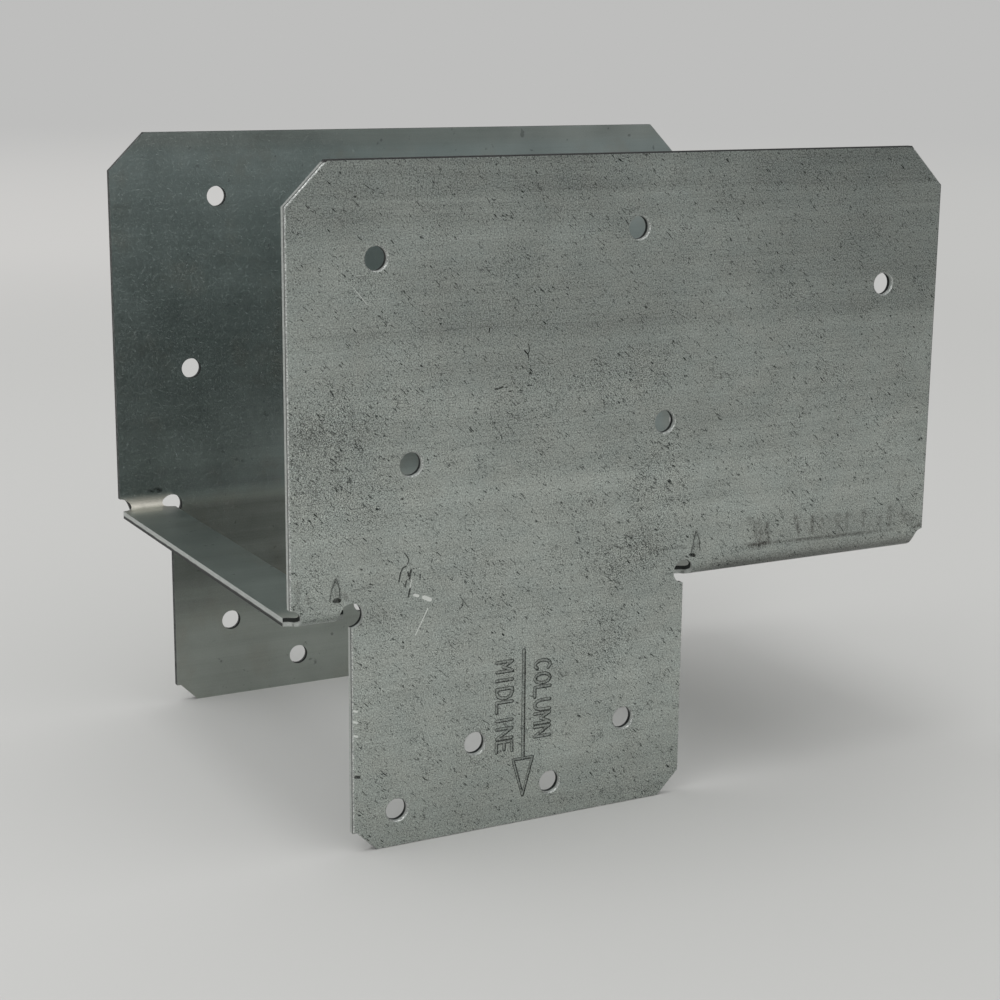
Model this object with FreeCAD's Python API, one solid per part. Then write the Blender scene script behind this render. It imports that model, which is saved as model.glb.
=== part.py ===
import FreeCAD, Part
import math
import os

# A post end cap: the saddle that holds the end of a timber beam on a square post, with a nailing tab down
# each side of the post. It is punched and folded from one galvanised sheet. The tabs are cut out of the
# middle of the seat and stay flat with the side plates, while the seat's two strips fold under the beam.
# The origin is on the post's axis at the seat's underside, where the post bears. X runs along the beam
# towards the long end, Y across it and Z up.

# Timber that the cap is made for
timber = 88.9
timber_play = 1.6

# Sheet and folds
sheet = 1.5
bend_radius = 1.5
neutral_share = 0.42
edge_roll = 0.3

# Side plates
beam_end = 88.9
plate_rise = 76.2
plate_corner = 7.4

# Tabs
tab_width = 66.7
parting_slot = 4.8
tab_corner = 4.4
tab_step = 0.8

# Round holes: one punch for the nails, one for the reliefs where a fold meets an edge
nail_hole = 4.1
nail_rim_roll = 0.2
relief_hole = 4.4

# Nails over the post: two pairs, each pair opposite about a point on the post's axis
nail_centre_height = 45.6
wide_pair = (28.4, -15.9)
narrow_pair = (22.1, 19.1)

# One nail near the long end, in each plate at its own height
end_nail_inset = 12.7
near_end_nail_height = 52.2
far_end_nail_height = 39.0

# Nails in a tab: a zigzag of four
tab_nail_first = -25.0
tab_nail_pitch = 15.3
tab_nail_drops = (35.0, 25.2)

# Worked out from the above
half_gap = (timber + timber_play) / 2
outer_half = half_gap + sheet
short_end = -timber / 2
tab_half = tab_width / 2
fold_outer = bend_radius + sheet
plate_top = sheet + plate_rise
neutral_radius = bend_radius + neutral_share * sheet
fold_length = math.pi / 2 * neutral_radius
fold_middle = fold_outer - fold_length / 2
tab_length = half_gap - bend_radius + fold_length / 2 - parting_slot / 2
tab_bottom = fold_middle - tab_length


def face_of(edges):
    """A flat face inside a closed run of edges."""
    return Part.Face(Part.Wire(Part.__sortEdges__(edges)))


def line(start, end):
    return Part.LineSegment(FreeCAD.Vector(*start), FreeCAD.Vector(*end)).toShape()


def arc(start, middle, end):
    return Part.Arc(FreeCAD.Vector(*start), FreeCAD.Vector(*middle), FreeCAD.Vector(*end)).toShape()


def fold_arc(side, radius):
    """A fold's section at one radius, from the foot of a side plate to the seat. Side is -1 or 1, along Y."""
    centre_y = side * (half_gap - bend_radius)
    half_way = radius * math.sqrt(0.5)
    return arc((0, centre_y + side * radius, fold_outer),
               (0, centre_y + side * half_way, fold_outer - half_way),
               (0, centre_y, fold_outer - radius))


def seat_strip(start, end):
    """The seat from one X to another, with the folds that carry it up to the foot of both side plates."""
    flat = half_gap - bend_radius
    edges = [fold_arc(side, radius) for side in (-1, 1) for radius in (bend_radius, fold_outer)]
    edges += [line((0, -flat, z), (0, flat, z)) for z in (0, sheet)]
    edges += [line((0, side * half_gap, fold_outer), (0, side * outer_half, fold_outer)) for side in (-1, 1)]
    strip = face_of(edges).extrude(FreeCAD.Vector(end - start, 0, 0))
    strip.translate(FreeCAD.Vector(start, 0, 0))
    return strip


def fold_relief(edge, inward, side):
    """A round relief as it lies in a fold: slices through the fold's axis, each as wide as the circle is
    at that distance round the fold, and a disc for the little of it that reaches the flat of the seat."""
    axis_y = side * (half_gap - bend_radius)
    radius = relief_hole / 2
    clear = 0.1
    slices = []
    for step in range(9):
        turn = math.pi / 2 * step / 8
        along = fold_length * (step / 8 - 0.5)
        inner_x = edge + inward * math.sqrt(radius ** 2 - along ** 2)
        outer_x = edge - inward * clear
        near = bend_radius - clear
        far = fold_outer + clear
        corners = [(x, axis_y + side * reach * math.cos(turn), fold_outer - reach * math.sin(turn))
                   for x, reach in ((outer_x, near), (inner_x, near), (inner_x, far), (outer_x, far))]
        slices.append(Part.makePolygon([FreeCAD.Vector(*c) for c in corners + corners[:1]]))
    disc_y = axis_y + side * fold_length / 2
    disc = Part.makeCylinder(radius, sheet, FreeCAD.Vector(edge, disc_y, 0))
    return [Part.makeLoft(slices, True), disc]


def side_plate(side, nails):
    """A side plate and its tab, flat in one plane, with its nail holes and its share of the reliefs."""
    outer_y = side * outer_half
    inward = FreeCAD.Vector(0, -side * sheet, 0)
    cut_top = tab_bottom + tab_corner
    step_z = cut_top - tab_step
    plate_outline = [(short_end, fold_outer), (short_end, plate_top - plate_corner),
                     (short_end + plate_corner, plate_top), (beam_end - plate_corner, plate_top),
                     (beam_end, plate_top - plate_corner), (beam_end, fold_outer)]
    tab_outline = [(tab_half, fold_outer), (tab_half, cut_top), (tab_half - tab_corner, tab_bottom),
                   (tab_corner - tab_half, tab_bottom), (tab_step - tab_half, step_z), (-tab_half, step_z),
                   (-tab_half, fold_outer)]

    def is_outline(edge):
        ends = [vertex.Point for vertex in edge.Vertexes]
        on_face = all(abs(point.y - outer_y) < 1e-6 for point in ends)
        return on_face and any(abs(point.z - fold_outer) > 1e-6 for point in ends)

    def is_nail_rim(edge):
        round_edge = isinstance(edge.Curve, Part.Circle) and abs(edge.Curve.Radius - nail_hole / 2) < 1e-6
        return round_edge and abs(edge.Curve.Center.y - outer_y) < 1e-6

    pieces = []
    for outline in (plate_outline, tab_outline):
        points = [FreeCAD.Vector(x, outer_y, z) for x, z in outline]
        piece = Part.Face(Part.makePolygon(points + points[:1])).extrude(inward)
        pieces.append(piece.makeFillet(edge_roll, [edge for edge in piece.Edges if is_outline(edge)]))
    punches = [(x, z, nail_hole / 2) for x, z in nails]
    punches += [(x, fold_middle, relief_hole / 2) for x in (short_end, -tab_half, tab_half, beam_end)]
    holes = [Part.makeCylinder(radius, sheet, FreeCAD.Vector(x, outer_y, z), inward) for x, z, radius in punches]
    plate = pieces[0].fuse(pieces[1]).removeSplitter().cut(holes)
    return plate.makeChamfer(nail_rim_roll, [edge for edge in plate.Edges if is_nail_rim(edge)])


def nail_places(turn, end_height):
    """Nail holes of the near plate for turn 1; turn -1 is the same pattern turned half round the post."""
    places = [(turn * way * x, nail_centre_height + way * z)
              for x, z in (wide_pair, narrow_pair) for way in (1, -1)]
    places.append((beam_end - end_nail_inset, end_height))
    for count in range(4):
        x = turn * (tab_nail_first + count * tab_nail_pitch)
        places.append((x, -tab_nail_drops[count % 2]))
    return places


def post_cap():
    """The whole cap: two side plates with tabs, joined by the short and the long strip of the seat."""
    near_plate = side_plate(-1, nail_places(1, near_end_nail_height))
    far_plate = side_plate(1, nail_places(-1, far_end_nail_height))
    strips = []
    for start, end in ((short_end, -tab_half), (tab_half, beam_end)):
        reliefs = []
        for side in (-1, 1):
            reliefs += fold_relief(start, 1, side) + fold_relief(end, -1, side)
        strips.append(seat_strip(start, end).cut(reliefs))
    return near_plate.fuse([far_plate] + strips).removeSplitter()


os.makedirs("parts", exist_ok=True)
cap = post_cap()
cap.exportStep("parts/post_cap.step")
print("valid", cap.isValid(), "solids", len(cap.Solids), "faces", len(cap.Faces), "volume", round(cap.Volume, 1))
print("tab bottom", round(tab_bottom, 2), "plate top", plate_top, "box", cap.BoundBox)
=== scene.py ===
import math

import bmesh
import bpy
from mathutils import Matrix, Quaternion, Vector


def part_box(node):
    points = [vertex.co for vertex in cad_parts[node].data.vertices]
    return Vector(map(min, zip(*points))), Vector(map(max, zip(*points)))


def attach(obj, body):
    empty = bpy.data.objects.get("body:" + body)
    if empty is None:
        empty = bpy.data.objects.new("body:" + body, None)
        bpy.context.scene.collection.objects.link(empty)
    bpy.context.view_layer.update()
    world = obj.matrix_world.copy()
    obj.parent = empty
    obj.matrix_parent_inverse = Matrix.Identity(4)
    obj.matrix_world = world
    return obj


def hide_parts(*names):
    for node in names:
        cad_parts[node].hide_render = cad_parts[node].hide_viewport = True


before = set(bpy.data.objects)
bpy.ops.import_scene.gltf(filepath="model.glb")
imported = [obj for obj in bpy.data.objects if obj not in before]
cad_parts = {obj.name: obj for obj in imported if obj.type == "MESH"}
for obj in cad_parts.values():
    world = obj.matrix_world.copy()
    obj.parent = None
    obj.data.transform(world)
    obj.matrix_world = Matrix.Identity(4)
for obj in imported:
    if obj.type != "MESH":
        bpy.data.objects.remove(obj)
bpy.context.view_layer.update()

# The sheet: one blank of 1.5 mm galvanised steel, punched and sheared flat, then folded on a press brake
# into a saddle with two tabs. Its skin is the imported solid's, welded so that marks can be struck into it.
mm = 0.001
weld_distance = 0.002 * mm
lowest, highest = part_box("post_cap")
near_face = lowest.y
sheet_thickness = 1.5 * mm
fold_radius = 3.0 * mm
tab_half = 33.35 * mm


def linked(name, data):
    """A new object that shows a mesh, a lamp or a camera."""
    piece = bpy.data.objects.new(name, data)
    bpy.context.scene.collection.objects.link(piece)
    return piece


def mesh_of(skin, name):
    """A mesh with the faces of an edit mesh, which is used up."""
    mesh = bpy.data.meshes.new(name)
    skin.to_mesh(mesh)
    skin.free()
    return mesh


blank = bmesh.new()
blank.from_mesh(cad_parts["post_cap"].data)
bmesh.ops.remove_doubles(blank, verts=blank.verts, dist=weld_distance)
sheet = linked("sheet", mesh_of(blank, "sheet"))

# The marks in the near side: a centre line for the post, struck while the blank is flat, with its arrow
# head and two plain words. Then come the press's bites and creases along the folds, and the gouges and
# scratches of use.
zinc_face, cut_face, hole_face, rim_face, struck_face, pressed_face, scratch_face = range(7)
punch_lift = 0.06
round_steps = 6
marks = bmesh.new()


def loft(outer, inner, wall, floor):
    """A closed punch between two outlines of as many points, (x, depth, z) in mm from the near face."""
    rings = []
    for outline in (outer, inner):
        rings.append([marks.verts.new((x * mm, near_face + depth * mm, z * mm)) for x, depth, z in outline])
    count = len(outer)
    marks.faces.new(rings[0]).material_index = floor
    marks.faces.new(rings[1][::-1]).material_index = floor
    for i in range(count):
        after = (i + 1) % count
        marks.faces.new([rings[0][after], rings[0][i], rings[1][i], rings[1][after]]).material_index = wall


def stroke(points, half_width, floor_share, depth, wall, floor=None):
    """A groove along a run of (x, z) points, with round ends, drafted walls and perhaps another floor."""
    draft = half_width * (1 - floor_share) / depth
    levels = ((half_width + draft * punch_lift, -punch_lift), (half_width * floor_share, depth))
    for start, end in zip(points, points[1:]):
        heading = math.atan2(end[1] - start[1], end[0] - start[0])
        outlines = []
        for half, level in levels:
            outline = []
            for (x, z), turn in ((end, heading - math.pi / 2), (start, heading + math.pi / 2)):
                for step in range(round_steps + 1):
                    angle = turn + math.pi * step / round_steps
                    outline.append((x + half * math.cos(angle), level, z + half * math.sin(angle)))
            outlines.append(outline)
        loft(outlines[0], outlines[1], wall, wall if floor is None else floor)


# Centre line of the post: a shaft and an open arrow head that points down it
shaft_top, head_top, head_tip = -9.3, -29.6, -36.6
head_half = 2.0
stroke([(0, shaft_top), (0, head_top)], 0.4, 0.5, 0.16, struck_face, pressed_face)
arrow_head = [(-head_half, head_top), (head_half, head_top), (0, head_tip), (-head_half, head_top)]
stroke(arrow_head, 0.32, 0.4, 0.14, struck_face, pressed_face)

# Two plain words beside the shaft, in single strokes, read down the tab
letter_height, letter_width, letter_pitch = 3.1, 1.8, 2.5
letter_half = 0.36


def curve(centre, radius, first, last):
    """Points round an arc of an upright letter, from one angle to another in degrees."""
    steps = max(4, round(abs(last - first) / 36))
    angles = [math.radians(first + (last - first) * step / steps) for step in range(steps + 1)]
    return [(centre[0] + radius[0] * math.cos(a), centre[1] + radius[1] * math.sin(a)) for a in angles]


letters = {
    "C": [curve((0.5, 0.5), (0.5, 0.5), 45, 315)],
    "D": [[(0, 0), (0, 1), (0.45, 1)] + curve((0.45, 0.5), (0.55, 0.5), 90, -90) + [(0, 0)]],
    "E": [[(1, 1), (0, 1), (0, 0), (1, 0)], [(0, 0.5), (0.8, 0.5)]],
    "I": [[(0.5, 0), (0.5, 1)]],
    "L": [[(0, 1), (0, 0), (1, 0)]],
    "M": [[(0, 0), (0, 1), (0.5, 0.4), (1, 1), (1, 0)]],
    "N": [[(0, 0), (0, 1), (1, 0), (1, 1)]],
    "O": [curve((0.5, 0.5), (0.5, 0.5), 90, 450)],
    "U": [[(0, 1)] + curve((0.5, 0.4), (0.5, 0.4), 180, 360) + [(1, 1)]],
}


def word(text, foot_x, top_z):
    """A word read downwards, its letters' feet towards -X."""
    for place, letter in enumerate(text):
        for run in letters[letter]:
            points = [(foot_x + letter_height * rise, top_z - letter_pitch * place - letter_width * across)
                      for across, rise in run]
            stroke(points, letter_half, 0.5, 0.12, struck_face, pressed_face)


word("COLUMN", 2.3, -11.6)
word("MIDLINE", -5.4, -10.9)

# Leaf-shaped bites of the press's stop beside each relief: two shallow flanks from a tip, and a deeper foot
stroke([(-36.1, 8.2), (-36.9, 6.5), (-37.3, 4.4)], 0.17, 0.3, 0.06, pressed_face, struck_face)
stroke([(-36.0, 8.0), (-35.5, 6.4), (-35.4, 4.8)], 0.2, 0.3, 0.07, pressed_face, struck_face)
stroke([(-36.3, 4.4), (-35.6, 4.4)], 0.42, 0.4, 0.09, struck_face)
stroke([(35.8, 8.6), (35.4, 7.0), (34.9, 4.6)], 0.17, 0.3, 0.06, pressed_face, struck_face)
stroke([(35.9, 8.5), (36.5, 7.2), (36.8, 4.9)], 0.17, 0.3, 0.06, pressed_face, struck_face)
stroke([(34.8, 4.3), (35.5, 4.1)], 0.36, 0.4, 0.09, struck_face)

# Creases that the press left along the folds
crease_start, crease_end = (41.8, 4.2), (84.2, 3.4)
stroke([crease_start, (55.2, 4.4), (70.8, 4.2), crease_end], 0.5, 0.2, 0.05, zinc_face)
stroke([(25.8, 6.5), (28.6, 5.9), (31.9, 6.1), (33.6, 5.9)], 0.34, 0.3, 0.05, pressed_face)
stroke([(-33.2, 5.7), (-29.8, 6.0)], 0.24, 0.3, 0.04, pressed_face)

# Gouges in the near side, left of the tab's middle
gouge_depth = 0.1
for gouge_half, gouge in ((0.11, [(-23.4, 11.2), (-22.9, 10.5), (-22.6, 9.9), (-22.9, 9.2)]),
                          (0.14, [(-23.1, 8.9), (-23.7, 8.7), (-24.1, 8.0), (-24.3, 7.3), (-24.5, 6.3)]),
                          (0.2, [(-22.2, 8.1), (-22.4, 7.4), (-22.5, 6.6)]),
                          (0.14, [(-22.8, 7.8), (-22.7, 7.1)]),
                          (0.09, [(-21.5, 7.5), (-21.5, 7.1)]),
                          (0.12, [(-20.5, 7.1), (-20.5, 6.5)]),
                          (0.12, [(-23.1, 6.3), (-23.3, 5.3)]),
                          (0.16, [(-22.4, 4.8), (-22.6, 4.1), (-22.7, 3.4)]),
                          (0.07, [(-12.7, 2.1), (-12.2, 1.5), (-12.3, 0.5), (-12.9, 0.0)]),
                          (0.16, [(-6.2, 38.2), (-5.4, 38.3), (-4.8, 38.5)]),
                          (0.1, [(-4.2, 38.4), (-3.9, 38.4)]),
                          (0.1, [(-3.6, 37.7), (-3.2, 37.6)]),
                          (0.08, [(-1.5, 37.7), (-0.8, 37.5)]),
                          (0.1, [(0.1, 38.4), (0.8, 38.4)]),
                          (0.1, [(-7.4, 48.8), (-7.5, 48.1)]),
                          (0.12, [(-0.6, 44.5), (0.1, 43.8)]),
                          (0.08, [(0.2, 45.6), (0.4, 44.6), (0.1, 43.8), (0.3, 42.8)]),
                          (0.05, [(2.0, 43.0), (3.2, 42.0)])):
    stroke(gouge, gouge_half, 0.3, gouge_depth, struck_face)

# Scratches through the dull skin, and nicks in the tab's edge
stroke([(-22.1, 6.4), (-22.4, 5.1)], 0.08, 0.4, 0.03, scratch_face)
stroke([(-21.6, 3.6), (-20.9, 3.35)], 0.25, 0.4, 0.03, scratch_face)
stroke([(-19.8, 2.95), (-18.6, 2.4)], 0.36, 0.4, 0.03, scratch_face)
stroke([(-19.0, 0.9), (-21.4, -3.6)], 0.09, 0.3, 0.03, scratch_face)
stroke([(-32.5, 56.9), (-30.1, 54.0)], 0.05, 0.3, 0.02, scratch_face)
stroke([(14.8, 12.6), (28.6, 25.7)], 0.07, 0.3, 0.03, pressed_face)
stroke([(42.5, 27.0), (54.2, 32.6)], 0.07, 0.3, 0.03, pressed_face)
stroke([(-17.7, 48.9), (-12.6, 49.1), (8.6, 48.8)], 0.05, 0.3, 0.02, pressed_face)
for nick_height in (-15.4, -17.4, -19.9):
    stroke([(-33.6, nick_height), (-32.5, nick_height - 0.4)], 0.2, 0.3, 0.05, scratch_face)
stroke([(-32.8, -27.6), (-32.2, -27.7)], 0.3, 0.3, 0.08, struck_face)

bmesh.ops.recalc_face_normals(marks, faces=marks.faces)
punch = linked("punch", mesh_of(marks, "punch"))
strike = sheet.modifiers.new("struck_marks", "BOOLEAN")
strike.operation = "DIFFERENCE"
strike.solver = "EXACT"
strike.use_self = True
strike.material_mode = "INDEX"
strike.object = punch
struck = bpy.data.meshes.new_from_object(sheet.evaluated_get(bpy.context.evaluated_depsgraph_get()))
sheet.modifiers.clear()
sheet.data = struck
bpy.data.objects.remove(punch)


# The zinc: a hot-dipped coat on both sides, dulled to a grey-green satin. It has a fine grain, faint bands
# from the rolls, dark pits that lie aslant and gather where the press rubbed, and brown rub marks along the
# long fold.
class Socket:
    """An output of one node tree, whose arithmetic adds Math nodes to that tree."""

    def __init__(self, tree, output=None):
        self.tree = tree
        self.output = output

    def add(self, kind, settings=None, sockets=None, out=0):
        """A node of a kind, with its settings made first and then its sockets' values or links."""
        node = self.tree.nodes.new(kind)
        for name, value in (settings or {}).items():
            setattr(node, name, value)
        for key, value in (sockets or {}).items():
            if isinstance(value, Socket):
                self.tree.links.new(value.output, node.inputs[key])
            else:
                node.inputs[key].default_value = value
        return Socket(self.tree, node.outputs[out] if node.outputs else None)

    def math(self, operation, *values):
        return self.add("ShaderNodeMath", {"operation": operation}, dict(enumerate(values)))

    def __add__(self, other):
        return self.math("ADD", self, other)

    __radd__ = __add__

    def __sub__(self, other):
        return self.math("SUBTRACT", self, other)

    def __rsub__(self, other):
        return self.math("SUBTRACT", other, self)

    def __mul__(self, other):
        return self.math("MULTIPLY", self, other)

    __rmul__ = __mul__

    def __truediv__(self, other):
        return self.math("DIVIDE", self, other)

    def __abs__(self):
        return self.math("ABSOLUTE", self)

    def root(self):
        return self.math("SQRT", self)

    def most(self, other):
        """The larger of two values."""
        return self.math("MAXIMUM", self, other)

    def least(self, other):
        """The smaller of two values."""
        return self.math("MINIMUM", self, other)

    def step(self, low, high):
        """0 below low and 1 above high, with a soft step between; a low above high turns it round."""
        return self.add("ShaderNodeMapRange", {"interpolation_type": "SMOOTHSTEP"},
                        {"Value": self, "From Min": low, "From Max": high})

    def mix(self, first, second):
        """The first colour where this value is 0 and the second where it is 1."""
        return self.add("ShaderNodeMix", {"data_type": "RGBA"}, {0: self, 6: first, 7: second}, 2)

    def scaled(self, *factors):
        """A vector with each part multiplied by its own factor."""
        return self.add("ShaderNodeVectorMath", {"operation": "MULTIPLY"}, {0: self, 1: factors})

    def noise(self, scale, detail=2.0, roughness=0.5):
        """Soft noise over a vector, about 0.5."""
        return self.add("ShaderNodeTexNoise", {},
                        {"Vector": self, "Scale": scale, "Detail": detail, "Roughness": roughness})


def paint(red, green, blue):
    """A colour as it looks on a screen, 0 to 255, in the renderer's own linear values."""
    parts = []
    for value in (red, green, blue):
        share = value / 255
        parts.append(share / 12.92 if share <= 0.04045 else ((share + 0.055) / 1.055) ** 2.4)
    return (*parts, 1.0)


def finish_named(name):
    """A new material with an empty tree, and a socket maker for it."""
    material = bpy.data.materials.new(name)
    material.use_nodes = True
    material.node_tree.nodes.clear()
    return material, Socket(material.node_tree)


def metal(maker, height, **sockets):
    """Ends a material's tree in one metal shader, with its bump height in millimetres."""
    normal = maker.add("ShaderNodeBump", {}, {"Strength": 1.0, "Distance": mm, "Height": height})
    names = {key.replace("_", " ").title(): value for key, value in sockets.items()}
    shader = maker.add("ShaderNodeBsdfPrincipled", {}, {"Normal": normal, **names})
    maker.add("ShaderNodeOutputMaterial", {}, {"Surface": shader})


zinc_cool = paint(174, 181, 176)
zinc_warm = paint(177, 182, 176)
zinc_inside = paint(163, 174, 172)
zinc_below = paint(170, 176, 170)
stain_colour = paint(163, 162, 153)
fold_highlight_colour = paint(226, 221, 209)
pit_colour = paint(42, 46, 44)
rub_colour = paint(88, 87, 83)
near_mm, fold_mm = near_face / mm, fold_radius / mm
fold_axis_mm = highest.y / mm - fold_mm
speck_slant = -0.75
band_edge_height = 70.7
# Where specks gather on the near side: centre x and z, reach in x and z, and share
speck_drifts = ((-38.0, 26.0, 13.0, 15.0, 0.75),
                (-34.0, 36.0, 16.0, 8.0, 0.35),
                (27.0, 16.0, 9.0, 16.0, 0.65),
                (21.5, 5.0, 9.0, 6.0, 0.7),
                (20.5, 38.5, 14.0, 7.0, 0.6),
                (1.0, 36.0, 16.0, 9.0, 0.35),
                (15.4, -9.2, 8.0, 11.0, 0.4))
# Smears of rubbed dirt along the near crease and by the reliefs: both ends' x and z, reach and share
smears = ((47.4, 9.8, 50.4, 7.2, 0.8, 0.5),
          (49.4, 8.0, 50.4, 4.8, 1.9, 0.6),
          (51.6, 8.2, 51.8, 5.4, 0.9, 0.8),
          (48.0, 4.4, 52.0, 4.7, 1.2, 0.6),
          (58.2, 8.9, 59.1, 6.0, 0.8, 0.85),
          (62.2, 8.6, 62.2, 5.6, 0.7, 0.85),
          (64.4, 7.9, 64.5, 7.3, 0.6, 0.6),
          (68.0, 8.0, 68.3, 5.4, 1.4, 0.5),
          (70.5, 8.2, 70.3, 5.4, 1.1, 0.45),
          (74.4, 8.8, 74.2, 5.8, 1.0, 0.55),
          (78.2, 7.0, 78.0, 5.0, 1.7, 0.45),
          (80.6, 8.4, 80.6, 5.2, 1.2, 0.6),
          (83.6, 7.2, 87.0, 4.6, 2.2, 0.4),
          (86.4, 3.9, 88.3, 4.3, 0.7, 0.8),
          (-43.1, 8.0, -43.1, 4.2, 1.1, 0.4),
          (-41.3, 5.4, -41.0, 4.8, 0.9, 0.35),
          (-36.1, 7.6, -36.1, 4.6, 1.5, 0.4),
          (-34.9, 5.4, -34.3, 4.6, 0.8, 0.5),
          (35.8, 8.0, 35.8, 4.6, 1.4, 0.4))


def through_sheet(x, y, z):
    """How far a point lies through a plate, a fold or the seat: 0 at the inner skin and 1 at the outer."""
    beside_tab = abs(x).step(tab_half / mm - 0.05, tab_half / mm - 0.02) * z.step(-0.2, -0.1)
    out = (abs(y) - fold_axis_mm).most(0.0)
    down = (fold_mm - z).most(0.0) * beside_tab
    return ((out * out + down * down).root() - (fold_mm - sheet_thickness / mm)) / (sheet_thickness / mm)


def zinc_coat(name, tint=1.0, dirt_and_shade=0.0):
    """The zinc finish. Tint scales its brightness, and the last value, from 0 to 1, darkens it as in a
    mark: partly soiling and partly painted shade in the groove.
    """
    material, maker = finish_named(name)
    place = maker.add("ShaderNodeTexCoord", out=3).scaled(1 / mm, 1 / mm, 1 / mm)
    x, y, z = (maker.add("ShaderNodeSeparateXYZ", {}, {0: place}, out) for out in range(3))
    near = y.step(near_mm + 0.9, near_mm + 0.4)
    outer = through_sheet(x, y, z).step(0.3, 0.7)

    def patch(centre_x, centre_z, reach_x, reach_z, share=1.0):
        """A soft oval on the plates."""
        across, up = (x - centre_x) / reach_x, (z - centre_z) / reach_z
        return (across * across + up * up).step(1.0, 0.1) * share

    def smear(start_x, start_z, end_x, end_z, reach, share):
        """A soft smear from one place on the plates to another."""
        run_x, run_z = end_x - start_x, end_z - start_z
        part = ((x - start_x) * run_x + (z - start_z) * run_z) / (run_x ** 2 + run_z ** 2)
        part = part.most(0.0).least(1.0)
        off_x, off_z = x - start_x - run_x * part, z - start_z - run_z * part
        return (off_x * off_x + off_z * off_z).root().step(reach, 0.1 * reach) * share

    # Grain, bands that the rolls left along the sheet, and soft clouds
    grain = (place.noise(4.0, 1.0, 0.6) - 0.5) * (0.12 + 0.88 * outer)
    band = place.scaled(0.006, 0.16, 0.16).noise(1.0, 5.0, 0.65) - 0.5
    hairline = (place.scaled(0.05, 1.0, 2.4).noise(1.0, 3.0, 0.65) - 0.5) * (0.3 + 0.7 * outer)
    cloud = place.noise(0.1, 4.0, 0.6) - 0.5
    drift = place.scaled(0.7, 1.0, 1.0).noise(0.21, 3.0, 0.6)
    top_band = (z + 1.6 * cloud).step(band_edge_height, band_edge_height + 0.8) * outer

    # Pits: dust, dashes and a few larger ones, all aslant, and hair-thin curls
    turned = maker.add("ShaderNodeVectorRotate", {"rotation_type": "Y_AXIS"},
                       {"Vector": place, "Angle": speck_slant})
    dust = turned.scaled(0.75, 1.0, 1.2).noise(6.2, 1.0, 0.5)
    dash = turned.scaled(0.5, 1.0, 1.5).noise(2.3, 1.0, 0.5)
    hole = turned.scaled(0.4, 1.0, 2.0).noise(1.5, 1.0, 0.5)
    faint = 0.3 + 0.9 * place.noise(0.45, 2.0).step(0.35, 0.65)
    drifts = patch(*speck_drifts[0])
    for drift_place in speck_drifts[1:]:
        drifts = drifts + patch(*drift_place)
    gathered = 0.5 * place.noise(0.12, 3.0, 0.6).step(0.45, 0.75) + drifts * near
    gathered = gathered * (0.3 + 1.3 * place.noise(0.3, 4.0, 0.7))
    specks = (dust + 0.11 * gathered).step(0.65, 0.71)
    dashes = (dash + 0.06 * gathered).step(0.66, 0.72) * faint
    pits = (hole + 0.04 * gathered).step(0.685, 0.725) * faint
    thread = abs(place.noise(0.5, 2.0, 0.5) - 0.5).step(0.012, 0.004)
    curl = thread * place.noise(0.33, 1.0).step(0.58, 0.66)
    dark = (0.82 * specks).most(0.72 * dashes).most(0.85 * pits).most(0.5 * curl) * outer

    # Inside: brown stains, a few spots, a painted highlight on the inner fold with painted light on the
    # seat beside it, and a burn above the far one
    inside = 1.0 - outer
    top_stain = 0.8 * (z + 3.0 * cloud).step(73.0, 76.0)
    stained = place.noise(0.07, 4.0, 0.65).step(0.5, 0.7).most(top_stain) * inside
    blots = 0.4 * place.noise(0.16, 3.0, 0.6).step(0.66, 0.76)
    spots = place.noise(0.5, 2.0, 0.55).step(0.69, 0.77).most(blots)
    burn = patch(-36.9, 4.7, 2.2, 0.8) * place.noise(1.2, 2.0).step(0.35, 0.6) * y.step(0.0, 1.0)
    dark = dark.most((0.4 * spots).most(0.9 * burn) * inside)
    beside_tab = abs(x).step(tab_half / mm - 0.3, tab_half / mm)
    past_axis = abs(y) - fold_axis_mm
    above_seat = z.step(1.0, 1.4) * beside_tab * inside
    # Painted highlight: the inner fold beside the tabs is painted bright and warm, and the seat next to it
    # a little lighter, as painted light
    bend_highlight = past_axis.step(-0.6, 0.9) * z.step(4.6, 2.4) * above_seat
    seat_painted_light = past_axis.step(-7.0, 0.0) * z.step(2.2, 1.7) * above_seat

    # Rub marks along the long fold and by the reliefs: smears, the crease's dark line and a stained bend
    smeared = 0.2 * patch(70.0, 5.6, 21.0, 3.6)
    for smear_place in smears:
        smeared = smeared.most(smear(*smear_place))
    smeared = smeared * place.scaled(1.0, 1.0, 0.6).noise(1.8, 4.0, 0.8).step(0.32, 0.62) * near
    along = x.step(43.0, 49.0) * x.step(86.0, 76.0) * near
    broken = place.scaled(0.35, 1.0, 1.0).noise(1.0, 3.0, 0.65).step(0.25, 0.65)
    crease = abs(z - 4.4 + 0.018 * (x - 62.0)).step(0.65, 0.0) * along * (0.4 + 0.6 * broken)
    near_bend = z.step(4.2, 0.6) * z.step(-0.5, 0.0) * y.step(near_mm + 2.8, near_mm + 1.4) * outer
    stain = near_bend * x.step(33.0, 44.0)
    rub = smeared + 0.5 * crease + 0.7 * stain

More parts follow.
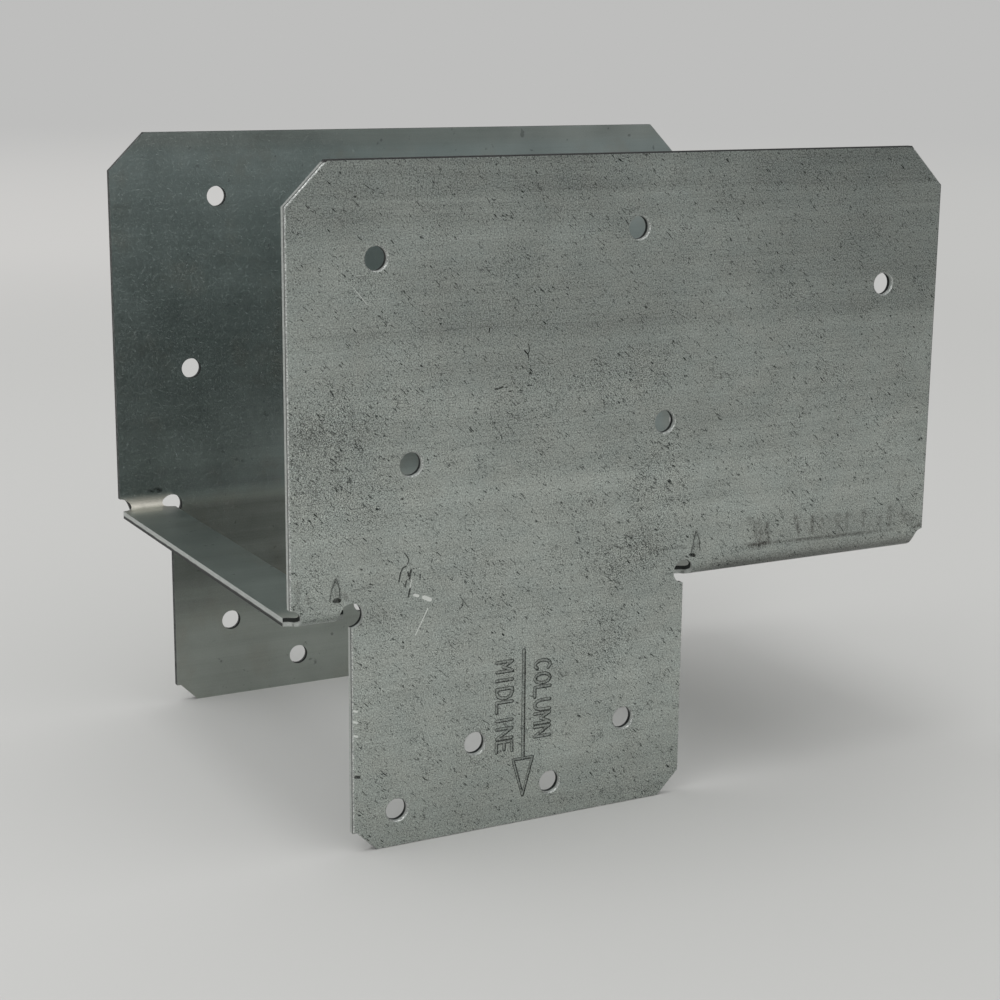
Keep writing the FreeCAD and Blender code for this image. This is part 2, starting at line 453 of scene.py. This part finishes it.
    tone = 1.0 + 0.55 * band + 0.35 * hairline + 0.35 * cloud - 0.14 * top_band
    # The near side is darker over two soft mottled patches, towards the upper right and in the upper middle
    near_dark_patches = patch(84.0, 66.0, 46.0, 24.0, 0.2) + patch(4.0, 50.0, 34.0, 16.0, 0.16)
    near_dark_patches = near_dark_patches * near * (0.7 + 1.2 * cloud)
    # Painted shade: the inner skin of the tabs is darker up under the seat
    tab_painted_shade = 2.2 * z.step(-27.0, -13.0) * z.step(2.0, -0.5)
    # Painted shade: the inner skin of the plates is darker towards the bottom, down to just above the fold
    inside_painted_shade = (z.step(52.0, 12.0) * z.step(2.0, 5.0)).most(tab_painted_shade) * inside
    tone = tint * (tone + (1.9 + 1.2 * gathered) * grain) - near_dark_patches - 0.17 * inside_painted_shade - 0.25 * dirt_and_shade
    colour = drift.step(0.25, 0.75).mix(zinc_cool, zinc_warm)
    skin_inside = z.step(4.0, 1.0).mix(zinc_inside, zinc_below)
    skin_inside = (0.38 * stained).mix(skin_inside, stain_colour)
    # Painted highlight on the inner fold and painted light on the seat beside it
    skin_inside = (0.85 * bend_highlight).most(0.35 * seat_painted_light).mix(skin_inside, fold_highlight_colour)
    colour = outer.mix(skin_inside, colour)
    colour = rub.mix(colour, rub_colour)
    colour = maker.add("ShaderNodeHueSaturation", {}, {"Value": tone, "Color": colour})
    colour = dark.mix(colour, pit_colour)
    rough = 0.33 + 0.1 * cloud + 0.12 * grain + 0.2 * dark + 0.1 * rub + 0.15 * bend_highlight
    sunk = 0.03 * dash.step(0.66, 0.72) + 0.02 * dust.step(0.65, 0.71)
    height = 0.012 * grain + 0.006 * hairline - sunk
    metallic = 1.0 - 0.06 * outer - 0.45 * bend_highlight - 0.12 * seat_painted_light
    metal(maker, height, base_color=colour, roughness=rough, metallic=metallic)
    return material


# The cut edges: the shear burnished the inner half of the sheet and tore the rest, and the punches, which
# came from the other side, did the reverse. The cuts along the top and on the far side are painted
# near-black as shade, and the rolled rim is rubbed bright.
torn, burnished = paint(42, 45, 44), paint(190, 194, 190)
# Near-black colours of painted shade for the cuts and the rim along the top and on the far side
cut_painted_shade, rim_painted_shade = paint(24, 26, 26), paint(20, 21, 21)
rim_dull, rim_bright = paint(158, 162, 159), paint(230, 233, 229)
scratch_dull, scratch_bright = paint(206, 210, 205), paint(236, 239, 234)


def cut_edge(name, turn_over, inner_colour, outer_colour):
    """A cut through the sheet, which changes colour at a share of the thickness from the inner skin."""
    material, maker = finish_named(name)
    place = maker.add("ShaderNodeTexCoord", out=3).scaled(1 / mm, 1 / mm, 1 / mm)
    x, y, z = (maker.add("ShaderNodeSeparateXYZ", {}, {0: place}, out) for out in range(3))
    ragged = place.scaled(1.6, 0.3, 1.6).noise(1.0, 3.0, 0.6)
    drag = place.scaled(5.0, 0.5, 5.0).noise(1.0, 2.0, 0.6)
    level = through_sheet(x, y, z) + 0.2 * (ragged - 0.5)
    outside = level.step(turn_over - 0.08, turn_over + 0.08)
    top = z.step(highest.z / mm - 0.6, highest.z / mm - 0.3)
    far = y.step(fold_axis_mm, fold_axis_mm + 1.0)
    # Painted shade: the cuts along the top and on the far side are painted near-black
    edge_painted_shade = top.most((0.9 + 0.35 * (ragged - 0.5)) * far)
    colour = outside.mix(inner_colour, outer_colour)
    colour = (0.96 * edge_painted_shade).mix(colour, cut_painted_shade)
    colour = maker.add("ShaderNodeHueSaturation", {}, {"Value": 0.9 + 0.7 * (drag - 0.5), "Color": colour})
    rough = 0.5 + 0.2 * (drag - 0.5) + 0.45 * edge_painted_shade
    metallic = 0.6 - 0.58 * edge_painted_shade
    metal(maker, 0.02 * drag + 0.02 * ragged, base_color=colour, roughness=rough, metallic=metallic)
    return material


def rolled_rim():
    """The rim between the skin and a cut, bright in short runs and painted near-black as shade along the
    top and the long end.
    """
    material, maker = finish_named("rolled_rim")
    place = maker.add("ShaderNodeTexCoord", out=3).scaled(1 / mm, 1 / mm, 1 / mm)
    x, z = (maker.add("ShaderNodeSeparateXYZ", {}, {0: place}, out) for out in (0, 2))
    breaks = place.noise(3.6, 3.0, 0.7).step(0.42, 0.62)
    top = z.step(highest.z / mm - 0.6, highest.z / mm - 0.4)
    dull = top.most(x.step(highest.x / mm - 0.6, highest.x / mm - 0.4))
    colour = breaks.mix(rim_dull, rim_bright)
    # Painted shade: the rim along the top and along the long end is painted near-black
    colour = (0.97 * dull).mix(colour, rim_painted_shade)
    rough = 0.42 - 0.14 * breaks + 0.5 * dull
    metal(maker, 0.03 * breaks, base_color=colour, roughness=rough, metallic=0.95 - 0.9 * dull)
    return material


def bright_scratch():
    """Clean zinc where the dull skin is scratched through."""
    material, maker = finish_named("bright_scratch")
    place = maker.add("ShaderNodeTexCoord", out=3).scaled(1 / mm, 1 / mm, 1 / mm)
    streak = place.scaled(3.0, 1.0, 3.0).noise(1.0, 3.0, 0.6)
    colour = streak.mix(scratch_dull, scratch_bright)
    metal(maker, 0.01 * streak, base_color=colour, roughness=0.38 + 0.2 * streak, metallic=0.55)
    return material


# The struck faces are much darker and the pressed ones a little darker: partly soiling in the marks and
# partly painted shade in their grooves
for finish in (zinc_coat("zinc"), cut_edge("sheared_cut", 0.6, burnished, torn),
               cut_edge("punched_hole", 0.5, torn, burnished), rolled_rim(),
               zinc_coat("zinc_struck", 0.46, 1.0), zinc_coat("zinc_pressed", 0.76), bright_scratch()):
    struck.materials.append(finish)


def skin_normal(point):
    """The direction square to the sheet's skin at a point of a plate, a tab, a fold or the seat."""
    fold_axis_y = math.copysign(highest.y - fold_radius, point.y)
    if point.z > fold_radius or abs(point.x) < tab_half:
        return Vector((0, 1, 0))
    if abs(point.y) < abs(fold_axis_y):
        return Vector((0, 0, 1))
    return Vector((0, point.y - fold_axis_y, point.z - fold_radius)).normalized()


# A face lies in the skin, stands square to it in the cut, or is the rolled rim between the two. The wall
# of a hole is a ring of small faces.
skin_least, cut_most = 0.97, 0.3
hole_most = (1.3 * mm) ** 2
for face in struck.polygons:
    if face.material_index in (struck_face, pressed_face, scratch_face):
        continue
    facing = abs(face.normal.dot(skin_normal(face.center)))
    if facing > skin_least:
        face.material_index = zinc_face
    elif facing > cut_most:
        face.material_index = rim_face
    else:
        face.material_index = hole_face if face.area < hole_most else cut_face

# The strike leaves slivers where two marks meet. They are closed up, and each flat of the skin is one face
# again, which is cut into plain triangles once its normals are set.
sliver_width, sliver_area = 0.001 * mm, 1e-6 * mm ** 2
flat_angle = 0.002
skin = bmesh.new()
skin.from_mesh(struck)
crowded = [face for face in skin.faces if len(face.verts) > 4 or face.calc_area() < sliver_area]
bmesh.ops.triangulate(skin, faces=crowded)
bmesh.ops.dissolve_degenerate(skin, edges=skin.edges, dist=sliver_width)
bmesh.ops.dissolve_limit(skin, angle_limit=flat_angle, verts=[], edges=skin.edges, delimit={"MATERIAL"})
skin.to_mesh(struck)
skin.free()

sharp_angle = math.radians(32)
struck.shade_smooth()
struck.set_sharp_from_angle(angle=sharp_angle)
even = sheet.modifiers.new("even_normals", "WEIGHTED_NORMAL")
even.keep_sharp = True
even.weight = 100
triangles = sheet.modifiers.new("triangles", "TRIANGULATE")
triangles.min_vertices = 5
triangles.keep_custom_normals = True
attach(sheet, "root")
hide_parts("post_cap")

# The floor: a plain pale paper sweep that the tabs stand on. Near the cap it takes the light and the soft
# shadow, and further out it runs into a pale glowing ground, painted lighter towards the left and back. In
# reflections the paper ends a step in front of the cap, where the dim room begins.
floor_reach = 4.0
floor_tone = paint(195, 195, 193)
light_tone, shade_tone = paint(205, 204, 202), paint(195, 195, 193)
ground_tone = paint(190, 190, 189)
room_tone = paint(112, 114, 114)
window_tone = paint(246, 247, 247)
window_east, window_north = 0.88, -0.47
room_east, room_south = 1.0, 0.3
floor_skin = bmesh.new()
bmesh.ops.create_circle(floor_skin, cap_ends=True, segments=64, radius=floor_reach)
floor = linked("floor", mesh_of(floor_skin, "floor"))
floor.location.z = lowest.z


def rays(maker):
    """Which rays meet a surface: those that show it as a background, and those of them in a reflection."""
    seen = maker.add("ShaderNodeLightPath", out=0)
    mirrored = maker.add("ShaderNodeLightPath", out=3)
    through = maker.add("ShaderNodeLightPath", out=6)
    return seen.most(mirrored).most(through), mirrored


paper, maker = finish_named("paper")
place = maker.add("ShaderNodeTexCoord", out=3)
x, y = (maker.add("ShaderNodeSeparateXYZ", {}, {0: place}, out) for out in range(2))
shown, mirrored = rays(maker)
reach = (x * x + y * y).root()
away = reach.step(0.4, 1.0) * shown
# Painted light: where the ground glows, it is lighter towards the left and back and darker towards the
# right and front
lit = (window_east * x + window_north * y).step(0.3, -0.3).mix(shade_tone, light_tone)
pale = reach.step(0.9, 2.8).mix(lit, ground_tone)
ahead = (room_east * x - room_south * y).step(0.12, 0.95) * mirrored
matt = maker.add("ShaderNodeBsdfDiffuse", {}, {"Color": floor_tone})
glow = maker.add("ShaderNodeEmission", {}, {"Color": ahead.mix(pale, room_tone)})
sweep = maker.add("ShaderNodeMixShader", {}, {0: away.most(ahead), 1: matt, 2: glow})
maker.add("ShaderNodeOutputMaterial", {}, {"Surface": sweep})
floor.data.materials.append(paper)

# The light: a plain pale room. The metal mirrors its dim ceiling, a bright panel overhead and a window in
# front, and the shadow comes from a soft box overhead and a small one up to the left.
room_light = 0.88
ceiling_tone = paint(95, 96, 96)
room = bpy.data.worlds.new("room")
bpy.context.scene.world = room
room.use_nodes = True
room.node_tree.nodes.clear()
maker = Socket(room.node_tree)
direction = maker.add("ShaderNodeTexCoord", out=0)
east, north, rise = (maker.add("ShaderNodeSeparateXYZ", {}, {0: direction}, out) for out in range(3))
shown, mirrored = rays(maker)
ahead = (room_east * east - room_south * north).step(-0.2, 0.5) * mirrored
upper = rise.step(0.0, 0.4).mix(ground_tone, ceiling_tone)
upper = rise.step(0.62, 0.8).mix(upper, window_tone)
ambient = maker.add("ShaderNodeBackground", {}, {"Color": (1, 1, 1, 1), "Strength": room_light})
ahead = ahead * rise.step(0.3, 0.1)
window = (0.0 - north).step(0.3, 0.8) * rise.step(0.03, 0.2) * mirrored
around = window.mix(ahead.mix(upper, room_tone), window_tone)
ground = maker.add("ShaderNodeBackground", {}, {"Color": around, "Strength": 1.0})
both = maker.add("ShaderNodeMixShader", {}, {0: shown, 1: ambient, 2: ground})
maker.add("ShaderNodeOutputWorld", {}, {"Surface": both})


def soft_box(name, place, aim, size, power):
    """A square area lamp, turned to face a point."""
    lamp = bpy.data.lights.new(name, "AREA")
    lamp.shape = "SQUARE"
    lamp.size = size
    lamp.energy = power
    box = linked(name, lamp)
    box.location = place
    box.rotation_euler = (Vector(aim) - Vector(place)).to_track_quat("-Z", "Y").to_euler()


lamp_aim = (0.02, 0.0, 0.0)
soft_box("overhead_box", (-0.35, 0.0, 1.0), lamp_aim, 0.65, 2.6)
soft_box("window_box", (-0.55, -0.45, 0.75), lamp_aim, 0.35, 0.7)

# The camera, where the photograph was taken from
camera_azimuth, camera_elevation, camera_roll = -28.06, 13.02, 0.5
camera_distance = 406.4 * mm
camera_target = Vector((19.8, 0.0, 6.4)) * mm
focal_share = 2.029
lens = bpy.data.cameras.new("camera")
lens.sensor_width = 36.0
lens.lens = focal_share * lens.sensor_width
camera = linked("camera", lens)
azimuth, elevation = math.radians(camera_azimuth), math.radians(camera_elevation)
level_reach = math.cos(elevation)
back = Vector((math.sin(azimuth) * level_reach, -math.cos(azimuth) * level_reach, math.sin(elevation)))
camera.location = camera_target + camera_distance * back
turn = (-back).to_track_quat("-Z", "Y") @ Quaternion((0, 0, 1), math.radians(camera_roll))
camera.rotation_euler = turn.to_euler()
bpy.context.scene.camera = camera
bpy.context.scene.view_settings.view_transform = "Standard"
